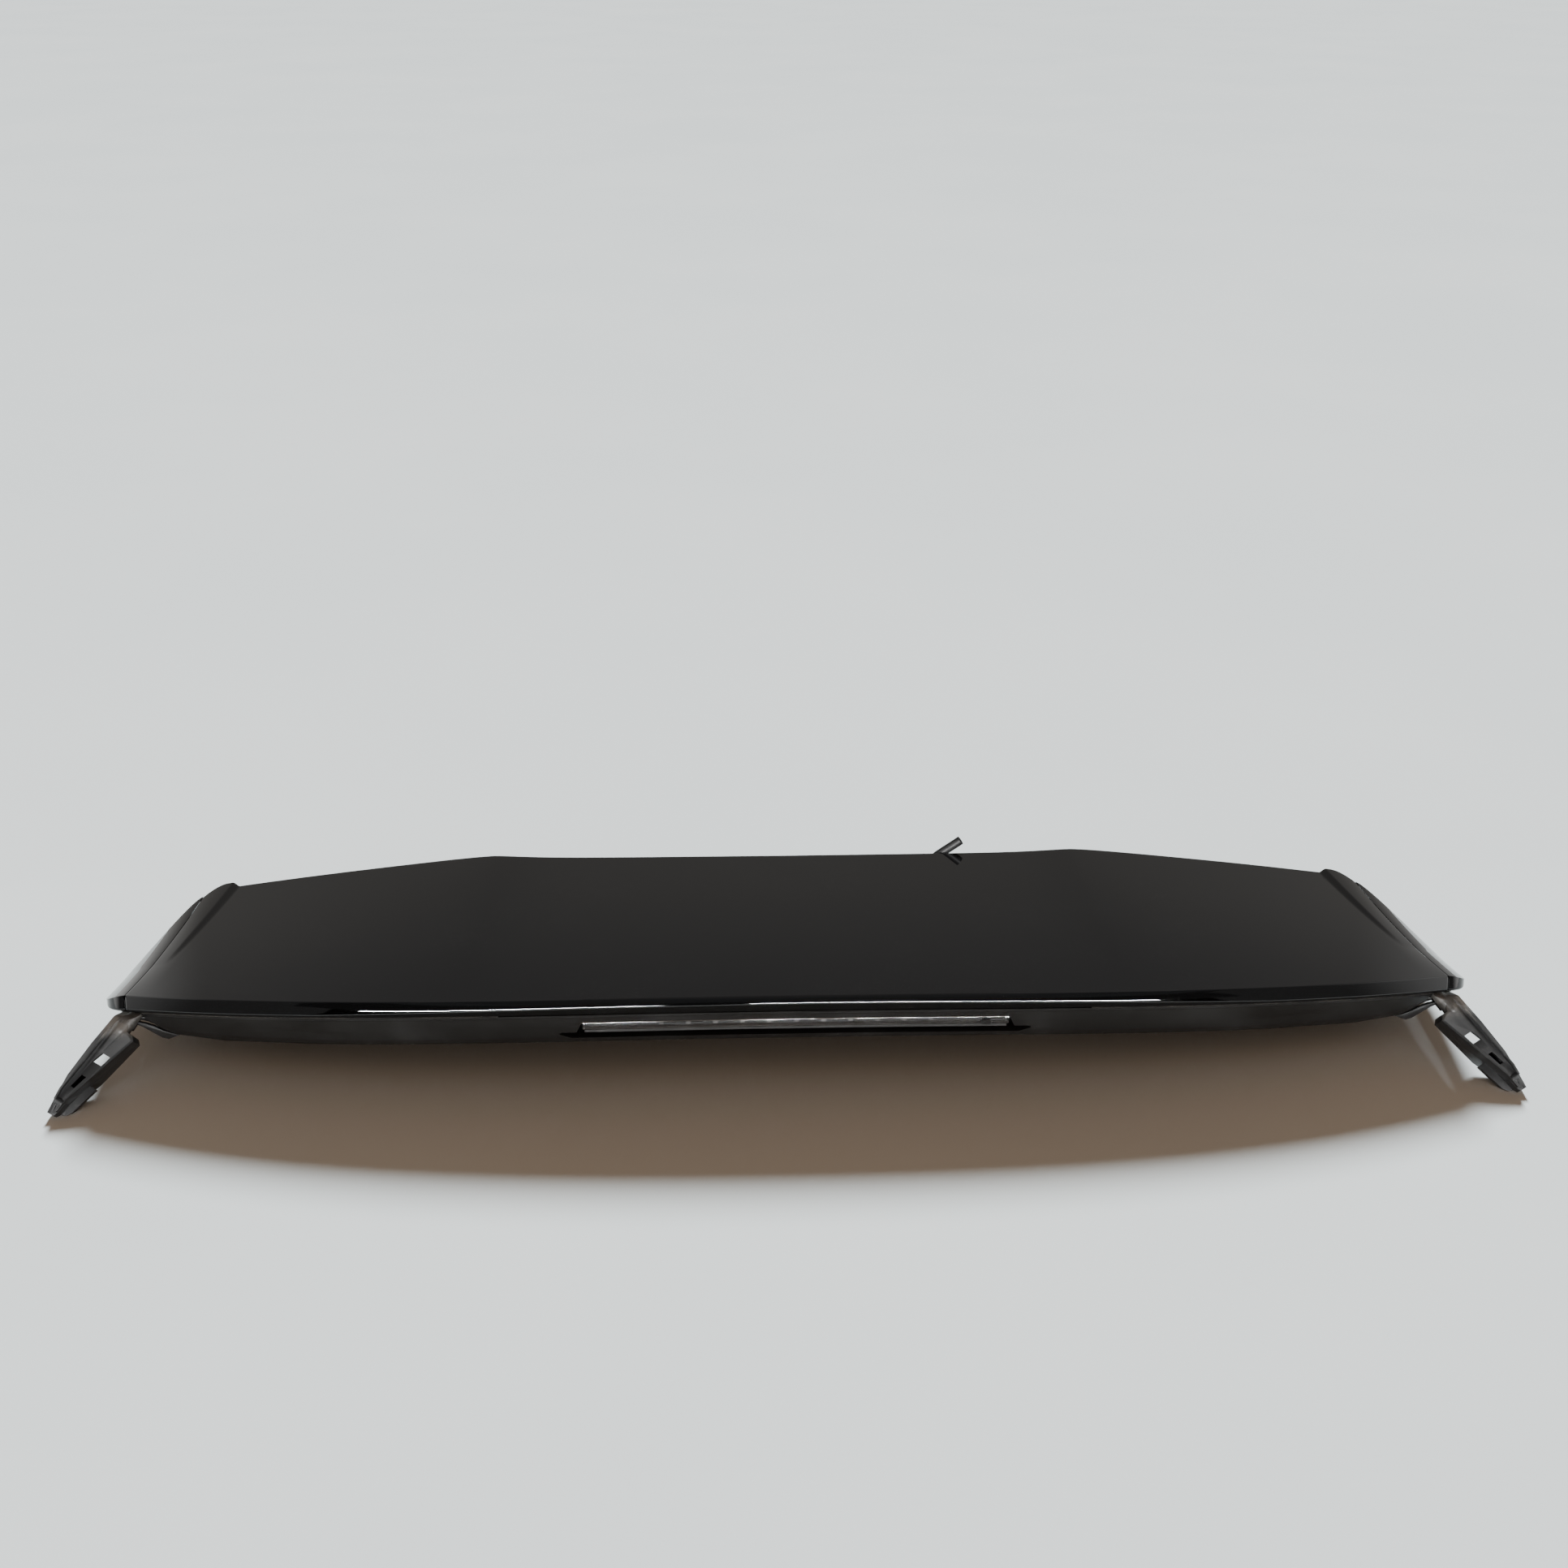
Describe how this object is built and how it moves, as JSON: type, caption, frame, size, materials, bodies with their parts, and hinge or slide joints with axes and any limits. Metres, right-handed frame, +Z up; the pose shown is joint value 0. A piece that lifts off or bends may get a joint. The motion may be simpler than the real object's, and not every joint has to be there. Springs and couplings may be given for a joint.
{
  "type": "tailgate spoiler",
  "caption": "Wide roof-edge tailgate spoiler: glossy curved skin on a dark lower shell, end caps, two slotted side arms, a long thin brake lamp and a washer hose.",
  "frame": {"origin": "centre of the bounding box in x and y, at its lowest point in z, which is the floor it stands on", "axes": "+X across the car to the right seen from behind, +Y forward to the roof edge, +Z up"},
  "size_m": [1.2398, 0.357, 0.094],
  "materials": {
    "paint": "gloss paint on moulded plastic",
    "satin_black": "satin moulded plastic",
    "arm_black": "grained moulded plastic, worn pale at the rib",
    "steel": "zinc plated",
    "lamp_black": "satin",
    "lens_clear": "clear moulded plastic",
    "reflector": "metallised plastic",
    "board_green": "solder mask",
    "diode": "moulded diode body",
    "hose_black": "moulded rubber",
    "clip_black": "satin",
    "foam": "closed-cell foam"
  },
  "bodies": {
    "root": {"top_skin": "paint", "lower_shell": "satin_black", "end_cap_left": "paint", "end_cap_right": "paint", "cap_screws": "steel", "arm_left": "arm_black", "arm_right": "arm_black", "arm_screws": "steel", "shell_screws": "steel", "lamp_housing": "lamp_black", "lamp_lens": "lens_clear", "lamp_reflector": "reflector", "lamp_board": "board_green", "lamp_diodes": "diode", "lamp_connector": "lamp_black", "lamp_screws": "steel", "washer_nozzle": "lamp_black", "washer_hose": "hose_black", "hose_clips": "clip_black", "mounting_studs": "steel", "stud_seals": "foam", "locating_pins": "clip_black", "front_seal": "foam"}
  },
  "joints": []
}
